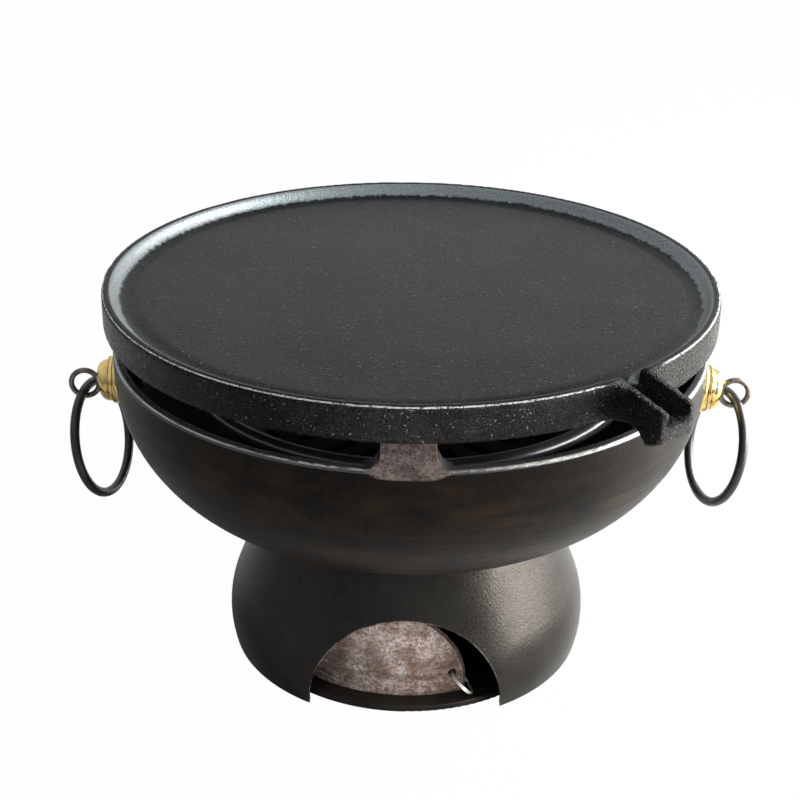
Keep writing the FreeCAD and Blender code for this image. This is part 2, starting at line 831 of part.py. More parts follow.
def make_bowl():
    casting = make_bowl_casting()
    place(casting, z=bowl_base)
    added = []
    cuts = []
    for step in range(DIMENSIONS["lug_count"]):
        lug, wedge = make_lug(step * (as_size(360) / size.lug_count))
        added.append(lug)
        cuts.append(wedge)
    for side in (-1, 1):
        seat = cone("handle_pad", size.handle_pad_foot_radius, size.handle_pad_radius,
                    size.handle_pad_depth)
        place_on_handle(seat, side, -size.handle_pad_depth)
        added.append(seat)
        spot = cylinder("handle_spot", size.handle_seat_radius, size.bowl_wall)
        place_on_handle(spot, side, -size.handle_seat_depth - size.bowl_wall)
        bore = cylinder("handle_bore", size.eye_shank_radius + size.bolt_clearance,
                        size.handle_seat_depth + size.overrun * 2)
        place_on_handle(bore, side, -size.handle_seat_depth - size.overrun)
        cuts += [spot, bore]
    return cut("bowl", fuse("bowl_with_lugs", casting, *added), fuse("bowl_cuts", *cuts))


def make_neck_fasteners():
    bolts = []
    washers = []
    nuts = []
    washer_base = size.pedestal_height - size.flange_thickness - size.neck_washer_thickness
    nut_base = washer_base - size.neck_nut_thickness
    bolt_end = nut_base - size.neck_thread_end
    for step in range(DIMENSIONS["neck_bolt_count"]):
        turn = step * (as_size(360) / size.neck_bolt_count) - FRONT_ANGLE
        x = neck_bolt_circle * cosine(turn)
        y = neck_bolt_circle * sine(turn)
        head = hexagon("neck_head", size.neck_head_flat_radius, size.neck_head_thickness)
        place(head, x, y, bowl_floor)
        shank = cylinder("neck_shank", size.neck_bolt_radius, bowl_floor - bolt_end)
        place(shank, x, y, bolt_end)
        bolts.append(fuse("neck_bolt", head, shank))
        ring = washer("neck_washer", size.neck_washer_radius,
                      size.neck_bolt_radius + size.bolt_clearance, size.neck_washer_thickness)
        place(ring, x, y, washer_base)
        washers.append(ring)
        cap = nut("neck_nut", size.neck_head_flat_radius,
                  size.neck_bolt_radius + size.thread_clearance, size.neck_nut_thickness)
        place(cap, x, y, nut_base)
        nuts.append(cap)
    return [group("neck_bolts", bolts), group("neck_washers", washers), group("neck_nuts", nuts)]


def make_basin():
    wall = size.basin_wall
    floor_top = size.basin_lift + wall
    ledge_under = size.basin_ledge_height - wall
    ledge_outer = basin_floor_radius + size.basin_ledge_width
    rim_inner = size.basin_rim_radius - size.basin_rim_round * 2
    rim_base = size.basin_height - size.basin_rim_round
    body = turned_body(
        "fire_basin",
        (ZERO, size.basin_lift),
        (basin_floor_radius, size.basin_lift, size.basin_floor_round),
        (basin_floor_radius, ledge_under),
        (ledge_outer, ledge_under, wall),
        (size.basin_rim_radius, rim_base),
        (LEFT, size.basin_rim_round),
        (size.basin_rim_radius - size.basin_rim_round, size.basin_height),
        (LEFT, size.basin_rim_round),
        (rim_inner, rim_base),
        (ledge_outer - wall, size.basin_ledge_height),
        (basin_floor_radius - wall, size.basin_ledge_height),
        (basin_floor_radius - wall, floor_top, wall),
        (ZERO, floor_top))
    foot_sketch = body_sketch(body, "XY_Plane")
    foot_circle = basin_floor_radius - size.basin_foot_inset
    add_circle(foot_sketch, ZERO, -foot_circle, size.basin_foot_radius)
    foot = pad(body, foot_sketch, size.basin_lift + wall / 2)
    ring_pattern(body, [foot], size.basin_foot_count)
    middle_sketch = body_sketch(body, "XY_Plane", z=size.basin_lift)
    add_circle(middle_sketch, ZERO, ZERO, size.basin_hole_radius)
    pocket(body, middle_sketch, wall, reverse=True)
    for share, count in ((size.basin_inner_hole_share, size.basin_inner_hole_count),
                         (size.basin_outer_hole_share, size.basin_outer_hole_count)):
        hole_sketch = body_sketch(body, "XY_Plane", z=size.basin_lift)
        add_circle(hole_sketch, basin_floor_radius * share, ZERO, size.basin_hole_radius)
        hole = pocket(body, hole_sketch, wall, reverse=True)
        ring_pattern(body, [hole], count)
    place(body, z=bowl_floor)
    return body


def make_grate():
    body = turned_body(
        "charcoal_grate",
        (ZERO, ZERO),
        (grate_radius, ZERO),
        (grate_radius, size.grate_thickness),
        (ZERO, size.grate_thickness))
    half = size.grate_slot_half_width
    for start_share, end_share, count in (
            (size.grate_inner_slot_start_share, size.grate_inner_slot_end_share,
             size.grate_inner_slot_count),
            (size.grate_outer_slot_start_share, size.grate_outer_slot_end_share,
             size.grate_outer_slot_count)):
        start = grate_radius * start_share
        end = grate_radius * end_share
        slot_sketch = body_sketch(body, "XY_Plane")
        draw(slot_sketch,
             (start, -half),
             (end - half, -half),
             (LEFT, half),
             (end, ZERO),
             (LEFT, half),
             (end - half, half),
             (start, half))
        slot = pocket(body, slot_sketch, size.grate_thickness, reverse=True)
        ring_pattern(body, [slot], count)
    place(body, z=bowl_floor + size.basin_ledge_height)
    return body


def make_griddle_pad(turn):
    """A pad that fills the hollow inside the skirt where the griddle lies on a lug."""
    half_width = size.lug_half_width + size.griddle_pad_margin
    inner_end = size.griddle_pad_margin - lug_inner_radius
    outer_end = size.griddle_skirt_thickness / 2 - griddle_radius
    pad_body = prism(
        "griddle_pad", "XY_Plane", skirt_depth + size.griddle_floor_thickness / 2, False,
        (-half_width, outer_end),
        (half_width, outer_end),
        (half_width, inner_end, size.griddle_pad_round),
        (-half_width, inner_end, size.griddle_pad_round))
    place(pad_body, z=-skirt_depth, yaw=turn)
    return pad_body


def make_griddle():
    rim_top = size.griddle_floor_thickness + size.griddle_rim_depth
    rim_inner = griddle_radius - size.griddle_rim_width
    slope_foot = rim_inner - size.griddle_slope_width
    groove_inner = slope_foot - size.groove_width
    groove_half = size.groove_width / 2
    groove_radius = (groove_half * groove_half + size.groove_depth * size.groove_depth) / (
        size.groove_depth * 2)
    skirt_inner = griddle_radius - size.griddle_skirt_thickness
    skirt_foot = -skirt_depth
    dish = turned_body(
        "griddle_dish",
        (ZERO, ZERO),
        (skirt_inner, ZERO, size.griddle_skirt_fillet),
        (skirt_inner, skirt_foot, size.griddle_inner_round),
        (griddle_radius, skirt_foot, size.griddle_inner_round),
        (griddle_radius, rim_top, size.griddle_outer_round),
        (rim_inner, rim_top, size.griddle_inner_round),
        (slope_foot, size.griddle_floor_thickness),
        (RIGHT, groove_radius),
        (groove_inner, size.griddle_floor_thickness),
        (ZERO, size.griddle_floor_thickness))
    fillet_y = size.spout_half_width + size.spout_fillet
    around = griddle_radius + size.spout_fillet
    spout_root = griddle_radius - size.spout_overlap
    spout_reach = griddle_radius + size.spout_length
    fillet_x = root(around * around - fillet_y * fillet_y)
    wall_x = fillet_x * (griddle_radius / around)
    wall_y = fillet_y * (griddle_radius / around)
    plan = prism(
        "spout_plan", "XY_Plane", (size.spout_nose_depth + size.overrun) * 2, True,
        (spout_root, -wall_y),
        (wall_x, -wall_y),
        (RIGHT, size.spout_fillet),
        (fillet_x, -size.spout_half_width),
        (spout_reach + size.overrun, -size.spout_half_width),
        (spout_reach + size.overrun, size.spout_half_width),
        (fillet_x, size.spout_half_width),
        (RIGHT, size.spout_fillet),
        (wall_x, wall_y),
        (spout_root, wall_y))
    side = prism(
        "spout_side", "XZ_Plane", wall_y * 2 + size.overrun, True,
        (spout_root, rim_top),
        (rim_inner + size.griddle_inner_round, rim_top),
        (spout_reach, rim_top - size.spout_top_drop, size.spout_end_round),
        (spout_reach - size.spout_end_rake, rim_top - size.spout_end_depth),
        (spout_reach - size.spout_nose_setback, rim_top - size.spout_nose_depth),
        (LEFT, size.spout_underside_radius),
        (griddle_radius + size.spout_underside_offset, skirt_foot),
        (spout_root, skirt_foot))
    spout = common("spout", plan, side)
    channel_start = slope_foot - groove_half
    start_height = size.griddle_floor_thickness - size.groove_depth
    end_height = rim_top - size.channel_end_depth
    fall = (start_height - end_height) / (spout_reach - channel_start)
    channel = prism(
        "spout_channel", "XZ_Plane", size.channel_half_width * 2, True,
        (channel_start, start_height),
        (spout_reach + size.overrun, end_height - size.overrun * fall),
        (spout_reach + size.overrun, rim_top + size.overrun),
        (channel_start, rim_top + size.overrun))
    pads = [make_griddle_pad(step * (as_size(360) / size.lug_count) - size.spout_turn_angle)
            for step in range(DIMENSIONS["lug_count"])]
    griddle = cut("griddle_plate", fuse("griddle_with_spout", dish, spout, *pads), channel)
    place(griddle, z=griddle_base, yaw=size.spout_turn_angle)
    return griddle


def make_boss(name):
    bore = size.eye_shank_radius + size.bolt_clearance
    ring_base = size.boss_flange_thickness
    bell_base = ring_base + size.boss_ring_thickness
    shoulder = size.boss_shoulder_radius - size.boss_nose_radius
    return turned_body(
        name,
        (bore, ZERO),
        (size.boss_flange_radius, ZERO),
        (size.boss_flange_radius, ring_base, size.boss_flange_round),
        (size.boss_ring_radius, ring_base),
        (size.boss_ring_radius, bell_base),
        (size.boss_bell_radius, bell_base),
        (size.boss_shoulder_radius, size.boss_length - shoulder),
        (LEFT, shoulder),
        (size.boss_nose_radius, size.boss_length),
        (bore, size.boss_length))


def make_handle(side, word):
    """Boss, eye bolt, washer, nut and ring of the handle on one side."""
    boss = make_boss(word + "_boss")
    place_on_handle(boss, side)
    washer_base = -size.handle_seat_depth - size.eye_washer_thickness
    nut_base = washer_base - size.eye_nut_thickness
    shank_base = nut_base - size.eye_thread_end
    eye_ring = size.eye_outer_radius - size.eye_wire_radius
    shank_end = size.eye_distance - eye_ring
    shank = cylinder(word + "_shank", size.eye_shank_radius, shank_end - shank_base)
    place(shank, z=shank_base)
    eye = torus(word + "_eye", eye_ring, size.eye_wire_radius)
    place(eye, z=size.eye_distance, roll=as_size(90))
    bolt = fuse(word + "_eye_bolt", shank, eye)
    place_on_handle(bolt, side)
    plain = washer(word + "_washer", size.eye_washer_radius,
                   size.eye_shank_radius + size.bolt_clearance, size.eye_washer_thickness)
    place_on_handle(plain, side, washer_base)
    cap = nut(word + "_nut", size.eye_nut_flat_radius,
              size.eye_shank_radius + size.thread_clearance, size.eye_nut_thickness)
    place_on_handle(cap, side, nut_base)
    return [boss, bolt, plain, cap, make_handle_ring(side, word)]


def make_handle_ring(side, word):
    """The ring hangs from the lowest point inside the eye, turned and leaning."""
    eye_x = handle_base + size.eye_distance * cosine(size.handle_tilt_angle)
    eye_z = handle_height - size.eye_distance * sine(size.handle_tilt_angle)
    hang = (eye_z - size.eye_outer_radius + size.eye_wire_radius * 2
            + size.handle_ring_wire_radius + size.running_clearance)
    turn, lean, swing = (size.handle_ring_turn_angle, size.handle_ring_lean_angle,
                         size.handle_ring_swing_angle)
    reach = size.handle_ring_radius * cosine(swing)
    drift = size.handle_ring_radius * sine(swing)
    middle_x = eye_x - reach * sine(lean) * cosine(turn) - drift * sine(turn)
    middle_y = drift * cosine(turn) - reach * sine(lean) * sine(turn)
    middle_z = hang - reach * cosine(lean)
    ring = torus(word + "_handle_ring", size.handle_ring_radius, size.handle_ring_wire_radius)
    yaw = turn if side > 0 else as_size(180) - turn
    place(ring, side * middle_x, middle_y, middle_z, yaw=yaw, pitch=lean + 90)
    return ring


def write_parts(pieces):
    document.recompute()
    for thing in document.Objects:
        if "Invalid" in thing.State or "Error" in thing.State:
            raise RuntimeError(thing.Name + " is " + " ".join(thing.State))
    for name, piece in pieces.items():
        if piece.Shape.isNull() or not piece.Shape.isValid():
            raise RuntimeError(name + " has no sound shape")
    os.makedirs("parts", exist_ok=True)
    for name, piece in pieces.items():
        piece.Label = name
        piece.Shape.exportStep("parts/" + name + ".step")
        box = piece.Shape.BoundBox
        print("%-20s solids %d  volume %10.1f  z %7.2f to %7.2f" % (
            name, len(piece.Shape.Solids), piece.Shape.Volume, box.ZMin, box.ZMax))


made = [make_griddle(), make_bowl(), make_pedestal(), make_bottom_plate(), make_plate_screws(),
        make_door(), make_pull_ring(), *make_pivot(), *make_neck_fasteners(), make_basin(),
        make_grate(), *make_handle(-1, "left"), *make_handle(1, "right")]
write_parts({piece.Name: piece for piece in made})
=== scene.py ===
# %% [markdown]
# # A table-top charcoal grill in cast iron
# The grill stands at the origin of a measured model, in metres: a griddle plate on a fire bowl,
# on a flared pedestal with an air door. The solids already have the right shape and place, so
# this lesson is mostly about finishes: how sand-cast, turned, bare and polished metal differ,
# and how small nodes of noise and bands make them.

# %% Load the measured model
import math
import bmesh
import bpy
from mathutils import Matrix, Vector


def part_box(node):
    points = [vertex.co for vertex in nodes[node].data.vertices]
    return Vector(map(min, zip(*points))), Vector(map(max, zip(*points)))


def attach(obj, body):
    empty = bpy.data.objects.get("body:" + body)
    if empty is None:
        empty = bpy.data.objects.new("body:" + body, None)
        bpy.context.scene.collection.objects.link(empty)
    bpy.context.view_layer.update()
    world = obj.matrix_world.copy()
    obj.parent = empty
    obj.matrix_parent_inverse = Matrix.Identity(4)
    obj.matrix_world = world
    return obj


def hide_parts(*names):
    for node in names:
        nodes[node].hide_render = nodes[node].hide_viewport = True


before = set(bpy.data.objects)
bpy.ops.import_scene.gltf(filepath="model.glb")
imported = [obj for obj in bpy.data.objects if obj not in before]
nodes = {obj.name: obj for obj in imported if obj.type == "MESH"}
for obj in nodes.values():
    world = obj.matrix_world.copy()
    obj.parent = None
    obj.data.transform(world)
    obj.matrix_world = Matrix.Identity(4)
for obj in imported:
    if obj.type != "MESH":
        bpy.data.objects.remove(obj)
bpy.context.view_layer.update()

# %% [markdown]
# ## The camera
# The photograph was taken from in front and above, about 25 degrees down, with a lens of about
# 72 mm. A camera in Blender looks along its own -Z axis, so it is first tipped up from looking
# at the floor, then turned a little, and last rolled about its own line of sight.

# %% Camera
camera_place = Vector((-0.0004, -0.8080, 0.52715))
camera_down, camera_turn, camera_roll = math.radians(25.38), math.radians(0.34), math.radians(0.75)

lens = bpy.data.cameras.new("camera")
lens.lens, lens.sensor_width = 72.0, 36.0
lens.clip_start, lens.clip_end = 0.05, 20.0
camera = bpy.data.objects.new("camera", lens)
bpy.context.collection.objects.link(camera)
camera.matrix_world = (Matrix.Translation(camera_place)
                       @ Matrix.Rotation(camera_turn, 4, "Z")
                       @ Matrix.Rotation(math.pi / 2 - camera_down, 4, "X")
                       @ Matrix.Rotation(camera_roll, 4, "Z"))
bpy.context.scene.camera = camera
bpy.context.scene.view_settings.view_transform = "Standard"
print("camera", [round(value, 3) for value in camera_place], "lens", lens.lens)

# %% [markdown]
# ## Small helpers for node trees
# A material is a tree of nodes. Making each node by hand takes many lines, so one helper makes a
# node and fills its sockets with numbers or with the outputs of other nodes. The others do
# arithmetic, fade between two numbers, mix two colours and make noise.

# %% Node helpers
def node(tree, kind, sockets=None, **settings):
    """Makes a node, sets its options, then links or fills the sockets that are named."""
    made = tree.nodes.new(kind)
    for name, value in settings.items():
        setattr(made, name, value)
    for name, value in (sockets or {}).items():
        if isinstance(value, bpy.types.NodeSocket):
            tree.links.new(value, made.inputs[name])
        else:
            made.inputs[name].default_value = value
    return made


def calc(tree, operation, *values):
    return node(tree, "ShaderNodeMath", dict(enumerate(values)), operation=operation).outputs[0]


def times(tree, first, second):
    return calc(tree, "MULTIPLY", first, second)


def vector_calc(tree, operation, *values):
    """Arithmetic on vectors. The caller picks the output: 0 is the vector, Value a number."""
    return node(tree, "ShaderNodeVectorMath", dict(enumerate(values)), operation=operation).outputs


def fade(tree, value, start, end, low=0.0, high=1.0):
    """Goes smoothly from low to high while the value goes from start to end."""
    sockets = {"Value": value, "From Min": start, "From Max": end, "To Min": low, "To Max": high}
    made = node(tree, "ShaderNodeMapRange", sockets, interpolation_type="SMOOTHSTEP")
    return made.outputs["Result"]


def mix(tree, share, first, second):
    """Mixes two colours: the first at a share of 0, the second at 1."""
    share_socket, first_socket, second_socket, result = 0, 6, 7, 2
    sockets = {share_socket: share, first_socket: first, second_socket: second}
    return node(tree, "ShaderNodeMix", sockets, data_type="RGBA").outputs[result]


def rgb(red, green, blue):
    return (red, green, blue, 1.0)


def noise(tree, vector, scale, detail=3.0, roughness=0.55):
    sockets = {"Vector": vector, "Scale": scale, "Detail": detail, "Roughness": roughness}
    return node(tree, "ShaderNodeTexNoise", sockets).outputs["Fac"]


print("helpers ready")

# %% [markdown]
# ## Groups of nodes
# An effect that several materials share is a node group: a tree of its own with named inputs and
# outputs. It is built once and then placed in each material with that material's numbers.

# %% Group helpers
def start_group(name, outputs, **inputs):
    """A shader node group. Its first input is the Vector, a place on the object. The inputs after
    it are numbers, each with its usual value, or vectors, where the value given is None."""
    tree = bpy.data.node_groups.new(name, "ShaderNodeTree")
    tree.interface.new_socket("Vector", in_out="INPUT", socket_type="NodeSocketVector")
    for socket, value in inputs.items():
        kind = "NodeSocketVector" if value is None else "NodeSocketFloat"
        made = tree.interface.new_socket(socket, in_out="INPUT", socket_type=kind)
        if value is not None:
            made.default_value = value
    for socket in outputs:
        tree.interface.new_socket(socket, in_out="OUTPUT", socket_type="NodeSocketFloat")
    return tree, tree.nodes.new("NodeGroupInput").outputs


def end_group(tree, **outputs):
    """Wires the values that the group gives."""
    leave = tree.nodes.new("NodeGroupOutput")
    for name, value in outputs.items():
        tree.links.new(value, leave.inputs[name])
    print("group", tree.name, "gives", ", ".join(outputs))


def use_group(tree, group, **sockets):
    return node(tree, "ShaderNodeGroup", sockets, node_tree=group).outputs


print("group helpers ready")

# %% [markdown]
# ## Where a point is on a round object
# Every big casting here is turned about the Z axis, so wear and machining follow how far a point
# is from the axis and how high it is. The group gives both from Object coordinates, and the turn
# about the axis besides.

# %% Group: round place
round_place, entry = start_group("round_place", ["Radius", "Height", "Turn"])
split = node(round_place, "ShaderNodeSeparateXYZ", {"Vector": entry["Vector"]}).outputs
flat = node(round_place, "ShaderNodeCombineXYZ", {"X": split["X"], "Y": split["Y"]}).outputs[0]
end_group(round_place, Radius=vector_calc(round_place, "LENGTH", flat)["Value"], Height=split["Z"],
          Turn=calc(round_place, "ARCTAN2", split["Y"], split["X"]))

# %% [markdown]
# ## Grain of a sand casting
# Molten iron copies the sand of its mould, grain by grain, so the skin is a field of small bumps
# of uneven size. A few grains catch the light: where a material makes their specks bright, these
# are painted glints. Two noises of different size make the bumps, cells of a Voronoi texture make
# the single grains, a quick noise makes the grit between them, and a slow noise makes the patches
# in which the seasoning oil has baked on thicker.

# %% Group: cast grain
cast_grain, entry = start_group("cast_grain", ["Height", "Speck", "Patches", "Grit"],
                                Grain=0.0008, Patch=0.03)
vector = entry["Vector"]
per_grain = calc(cast_grain, "DIVIDE", 1.0, entry["Grain"])
per_patch = calc(cast_grain, "DIVIDE", 1.0, entry["Patch"])
coarse = noise(cast_grain, vector, times(cast_grain, per_grain, 0.45), 2.0, 0.6)
fine = noise(cast_grain, vector, per_grain, 2.0, 0.7)
cells = node(cast_grain, "ShaderNodeTexVoronoi",
             {"Vector": vector, "Scale": times(cast_grain, per_grain, 0.7)},
             feature="SMOOTH_F1").outputs["Distance"]
bumps = calc(cast_grain, "ADD", times(cast_grain, coarse, 0.3), times(cast_grain, fine, 0.45))
glints = noise(cast_grain, vector, times(cast_grain, per_grain, 0.8), 1.0, 0.5)
patches = noise(cast_grain, vector, per_patch, 4.0, 0.6)
grit = noise(cast_grain, vector, times(cast_grain, per_grain, 1.6), 1.0, 0.5)
end_group(cast_grain,
          Height=calc(cast_grain, "SUBTRACT", bumps, times(cast_grain, cells, 0.35)),
          Speck=fade(cast_grain, glints, 0.68, 0.76),
          Patches=fade(cast_grain, patches, 0.35, 0.65),
          Grit=fade(cast_grain, grit, 0.30, 0.72))

# %% [markdown]
# ## Marks of turning
# The bowl was turned on a lathe after casting. The tool leaves faint rings, all at constant
# height, broken where the oil has filled them. A noise that is squeezed along Z and drawn out
# sideways does that without any ring being perfect.

# %% Group: turned rings
turned_rings, entry = start_group("turned_rings", ["Rings", "Smear"], Spacing=0.0012)
upright = calc(turned_rings, "DIVIDE", 1.0, entry["Spacing"])
squeeze = node(turned_rings, "ShaderNodeCombineXYZ", {"X": 14.0, "Y": 14.0, "Z": upright}).outputs[0]
squeezed = vector_calc(turned_rings, "MULTIPLY", entry["Vector"], squeeze)[0]
drawn_out = vector_calc(turned_rings, "MULTIPLY", entry["Vector"], (9.0, 9.0, 60.0))[0]
end_group(turned_rings,
          Rings=noise(turned_rings, squeezed, 1.0, 2.0, 0.6),
          Smear=fade(turned_rings, noise(turned_rings, drawn_out, 1.0, 4.0, 0.6), 0.35, 0.7))

# %% [markdown]
# ## Highlight lines on rounded edges
# A thin bright line along the rounded outer edges of the rims is a painted highlight. On a rounded
# edge the surface turns from facing outwards to facing up, so the line where it faces halfway
# between the two is the edge itself. The group compares the smooth normal with that halfway
# direction. The line it gives is finer and more even than one found from where the mesh's faces are.

# %% Group: edge facing
edge_facing, entry = start_group("edge_facing", ["Facing"], Normal=None)
sideways = vector_calc(edge_facing, "MULTIPLY", entry["Vector"], (1.0, 1.0, 0.0))[0]
sideways = vector_calc(edge_facing, "NORMALIZE", sideways)[0]
halfway = vector_calc(edge_facing, "ADD", sideways, (0.0, 0.0, 1.0))[0]
halfway = vector_calc(edge_facing, "NORMALIZE", halfway)[0]
end_group(edge_facing,
          Facing=vector_calc(edge_facing, "DOT_PRODUCT", entry["Normal"], halfway)["Value"])

# %% [markdown]
# ## Bare ground faces
# Three lugs stand on the bowl at equal turns. Folding the turn about the axis into one third of a
# circle lays all three over each other, so one flat slanted plane, given by its radius and height
# at the top and its slope, marks the ground face of every lug. The mask ends at the lug's sides
# and at its foot.

# %% Group: ground faces
lug_half_width, lug_foot = 0.0220, 0.1786

ground_faces, entry = start_group("ground_faces", ["Face"],
                                  **{"Top Radius": 0.1564, "Top Height": 0.19904, "Slope": 0.2364})
spot = use_group(ground_faces, round_place, Vector=entry["Vector"])
folded = calc(ground_faces, "WRAP", calc(ground_faces, "ADD", spot["Turn"], math.pi / 2),
              math.pi / 3, -math.pi / 3)
outward = times(ground_faces, spot["Radius"], calc(ground_faces, "COSINE", folded))
across = times(ground_faces, spot["Radius"], calc(ground_faces, "SINE", folded))
fallen = calc(ground_faces, "SUBTRACT", entry["Top Height"], spot["Height"])
plane = calc(ground_faces, "ADD", entry["Top Radius"], times(ground_faces, fallen, entry["Slope"]))
away = calc(ground_faces, "ABSOLUTE", calc(ground_faces, "SUBTRACT", outward, plane))
on_plane = fade(ground_faces, away, 0.0008, 0.0003)
narrow = fade(ground_faces, calc(ground_faces, "ABSOLUTE", across), lug_half_width + 0.0005,
              lug_half_width - 0.0005)
high = fade(ground_faces, spot["Height"], lug_foot, lug_foot + 0.0014)
end_group(ground_faces, Face=times(ground_faces, times(ground_faces, on_plane, narrow), high))

# %% [markdown]
# ## Start and end of a material
# Every material starts from Object coordinates and ends in one Principled shader. What varies over
# the surface comes from nodes, and what is the same everywhere is a number on the shader.

# %% Material helpers
def start_material(name):
    material = bpy.data.materials.new(name)
    material.use_nodes = True
    tree = material.node_tree
    tree.nodes.clear()
    place = node(tree, "ShaderNodeTexCoord").outputs["Object"]
    return material, tree, place


def faces_edge(tree, place):
    """How nearly the smooth surface faces outwards and up at once: 1 along a rounded outer edge."""
    normal = node(tree, "ShaderNodeTexCoord").outputs["Normal"]
    return use_group(tree, edge_facing, Vector=place, Normal=normal)["Facing"]


def end_material(tree, colour, roughness, height, bump, depth, soften=0.0, **plain):
    """Wires the Principled shader: colour, roughness and bump from nodes, the rest as numbers.
    The bump's height counts in units of depth. Edges look rounded over the radius soften."""
    relief = {"Height": height, "Strength": bump, "Distance": depth}
    if soften:
        relief["Normal"] = node(tree, "ShaderNodeBevel", {"Radius": soften}).outputs["Normal"]
    normal = node(tree, "ShaderNodeBump", relief).outputs["Normal"]
    shader = node(tree, "ShaderNodeBsdfPrincipled",
                  {"Base Color": colour, "Roughness": roughness, "Normal": normal, **plain})
    node(tree, "ShaderNodeOutputMaterial", {"Surface": shader.outputs[0]})


def finish(material, *names):
    """Gives the material to measured solids: their slots are filled, their meshes left alone."""
    for name in names:
        slots = nodes[name].material_slots
        if not slots:
            nodes[name].data.materials.append(material)
        for slot in slots:
            slot.material = material
    print(material.name, "on", ", ".join(names))


print("material helpers ready")

# %% [markdown]
# ## The griddle plate as it was cast
# The measured solid has crisp corners, while sand can't hold one: on the real plate the rim, the
# spout and the change from the floor to the rim are all soft. A copy of the solid is merged, made
# anew from small even cells by the Remesh modifier, and smoothed a few times, which rounds every
# corner by about a millimetre and leaves the flats flat.

# %% Griddle casting
merge_distance, cell_size, smooth_rounds = 0.00002, 0.0016, 6

cast_mesh = nodes["griddle_plate"].data.copy()
builder = bmesh.new()
builder.from_mesh(cast_mesh)
bmesh.ops.remove_doubles(builder, verts=builder.verts, dist=merge_distance)
builder.to_mesh(cast_mesh)
builder.free()
griddle_casting = bpy.data.objects.new("griddle_casting", cast_mesh)
bpy.context.collection.objects.link(griddle_casting)
remesh = griddle_casting.modifiers.new("cells", "REMESH")
remesh.mode, remesh.voxel_size, remesh.use_smooth_shade = "VOXEL", cell_size, True
rounding = griddle_casting.modifiers.new("soften", "SMOOTH")
rounding.factor, rounding.iterations = 0.5, smooth_rounds
shaped = griddle_casting.evaluated_get(bpy.context.evaluated_depsgraph_get())
griddle_casting.data = bpy.data.meshes.new_from_object(shaped)
griddle_casting.modifiers.clear()
griddle_casting.data.materials.clear()
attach(griddle_casting, "griddle")
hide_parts("griddle_plate")
print("griddle casting", len(griddle_casting.data.polygons), "faces")

# %% [markdown]
# ## Seasoned iron of the griddle
# The flat has been rubbed smooth and oiled, so its grain is fine and has a satin sheen, with a few
# painted glints; the wall outside and the spout are as the sand left them, coarser, darker and full
# of small glints, partly from bumps and partly painted. The slope inside the rim is painted paler
# and bluish, a painted sheen, with a ragged lower edge. Along the outer top edge a thin broken
# bright line is a painted highlight.

# %% Material: griddle iron
plate_radius, rim_inside, flat_radius, wall_foot = 0.1650, 0.1610, 0.1560, 0.2100

griddle_iron, tree, place = start_material("griddle_iron")
spot = use_group(tree, round_place, Vector=place)
radius, up = spot["Radius"], spot["Height"]
fine = use_group(tree, cast_grain, Vector=place, Grain=0.0011, Patch=0.06)
rough = use_group(tree, cast_grain, Vector=place, Grain=0.0009, Patch=0.025)
outside = calc(tree, "MAXIMUM", fade(tree, radius, plate_radius - 0.0010, plate_radius - 0.0003),
               fade(tree, up, wall_foot + 0.0008, wall_foot))

# The flat with painted glints, and the pale slope round it, a painted sheen.
top = mix(tree, fine["Patches"], rgb(0.0200, 0.0225, 0.0221), rgb(0.0330, 0.0360, 0.0356))
top = mix(tree, fine["Grit"], rgb(0.002, 0.0025, 0.0025), top)
top = mix(tree, times(tree, fine["Speck"], 0.5), top, rgb(0.24, 0.25, 0.25))
ragged = calc(tree, "ADD", radius, times(tree, noise(tree, place, 260.0, 3.0, 0.6), 0.0040))
slope = times(tree, fade(tree, ragged, flat_radius + 0.0006, flat_radius + 0.0026),
              fade(tree, radius, rim_inside + 0.0002, rim_inside - 0.0004))
slope_sheen = times(tree, slope, fade(tree, fine["Grit"], 0.0, 1.0, 0.6, 1.0))
top = mix(tree, slope_sheen, top, rgb(0.235, 0.262, 0.272))

# The wall and the spout, with painted glints.
wall = mix(tree, rough["Patches"], rgb(0.019, 0.0180, 0.0180), rgb(0.040, 0.0378, 0.0378))
wall = mix(tree, rough["Grit"], rgb(0.003, 0.003, 0.003), wall)
wall = mix(tree, times(tree, rough["Speck"], 0.7), wall, rgb(0.36, 0.36, 0.36))
colour = mix(tree, outside, top, wall)

# The painted highlight along the rounded outer edge, kept to the rim's own radius.
on_rim = times(tree, fade(tree, radius, plate_radius - 0.0020, plate_radius - 0.0016),
               fade(tree, radius, plate_radius + 0.0006, plate_radius + 0.0002))
edge = times(tree, fade(tree, faces_edge(tree, place), 0.974, 0.993), on_rim)
highlight_breaks = fade(tree, noise(tree, place, 700.0, 2.0, 0.6), 0.32, 0.52)
colour = mix(tree, times(tree, edge, highlight_breaks), colour, rgb(0.55, 0.56, 0.56))

roughness = calc(tree, "SUBTRACT", fade(tree, fine["Height"], 0.1, 0.6, 0.42, 0.52),
                 times(tree, outside, 0.18))
wall_height = times(tree, calc(tree, "ADD", rough["Height"], rough["Grit"]),
                    times(tree, outside, 2.2))
height = calc(tree, "ADD", times(tree, fine["Height"], 0.28), wall_height)
end_material(tree, colour, roughness, height, 1.0, 0.0008,
             **{"Metallic": 0.85, "Specular IOR Level": 0.1})
griddle_casting.data.materials.append(griddle_iron)
finish(griddle_iron, "griddle_plate")

# %% [markdown]
# ## The fire bowl
# Turned, oiled and heated iron: nearly black with a brown tint where the oil has baked on, a few
# painted glints, and half glossy. The rounded rim is smoother and shines; its paler bluish colour is
# a painted sheen, and a hair line along its edge is a painted highlight.
# The three lugs were ground down bare on their outer faces, pinkish grey with fine scratches.

# %% Material: bowl iron
rim_start, rim_full = 0.1815, 0.1823

